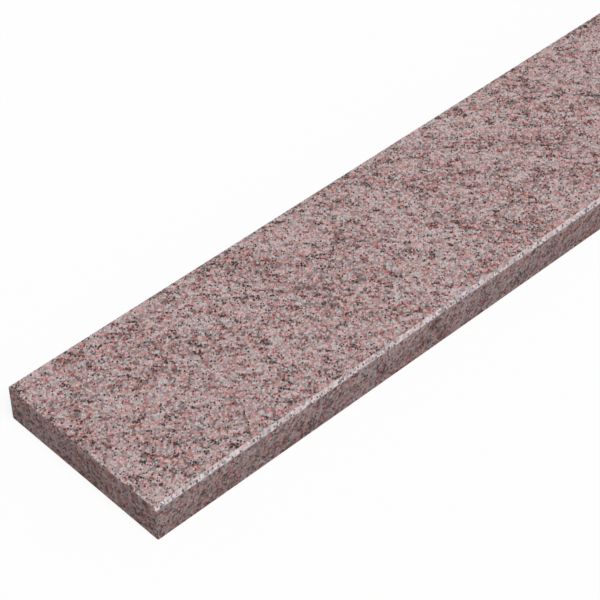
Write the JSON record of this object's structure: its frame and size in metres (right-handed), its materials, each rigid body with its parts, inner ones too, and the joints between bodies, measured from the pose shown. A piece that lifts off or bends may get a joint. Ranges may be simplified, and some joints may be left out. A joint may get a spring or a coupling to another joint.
{
  "type": "granite stair riser",
  "caption": "Flat rectangular slab of pink-grey granite with a chamfered long edge, set upright to close the front of a stair step between treads.",
  "frame": {"origin": "Middle of the slab's back, which lies on the floor.", "axes": "+X along the slab's length, -Y toward the chamfered long edge, +Z out of the finished face."},
  "size_m": [1, 0.15, 0.03],
  "materials": {
    "granite": "matte"
  },
  "bodies": {
    "root": {"riser_slab": "granite"}
  },
  "joints": []
}
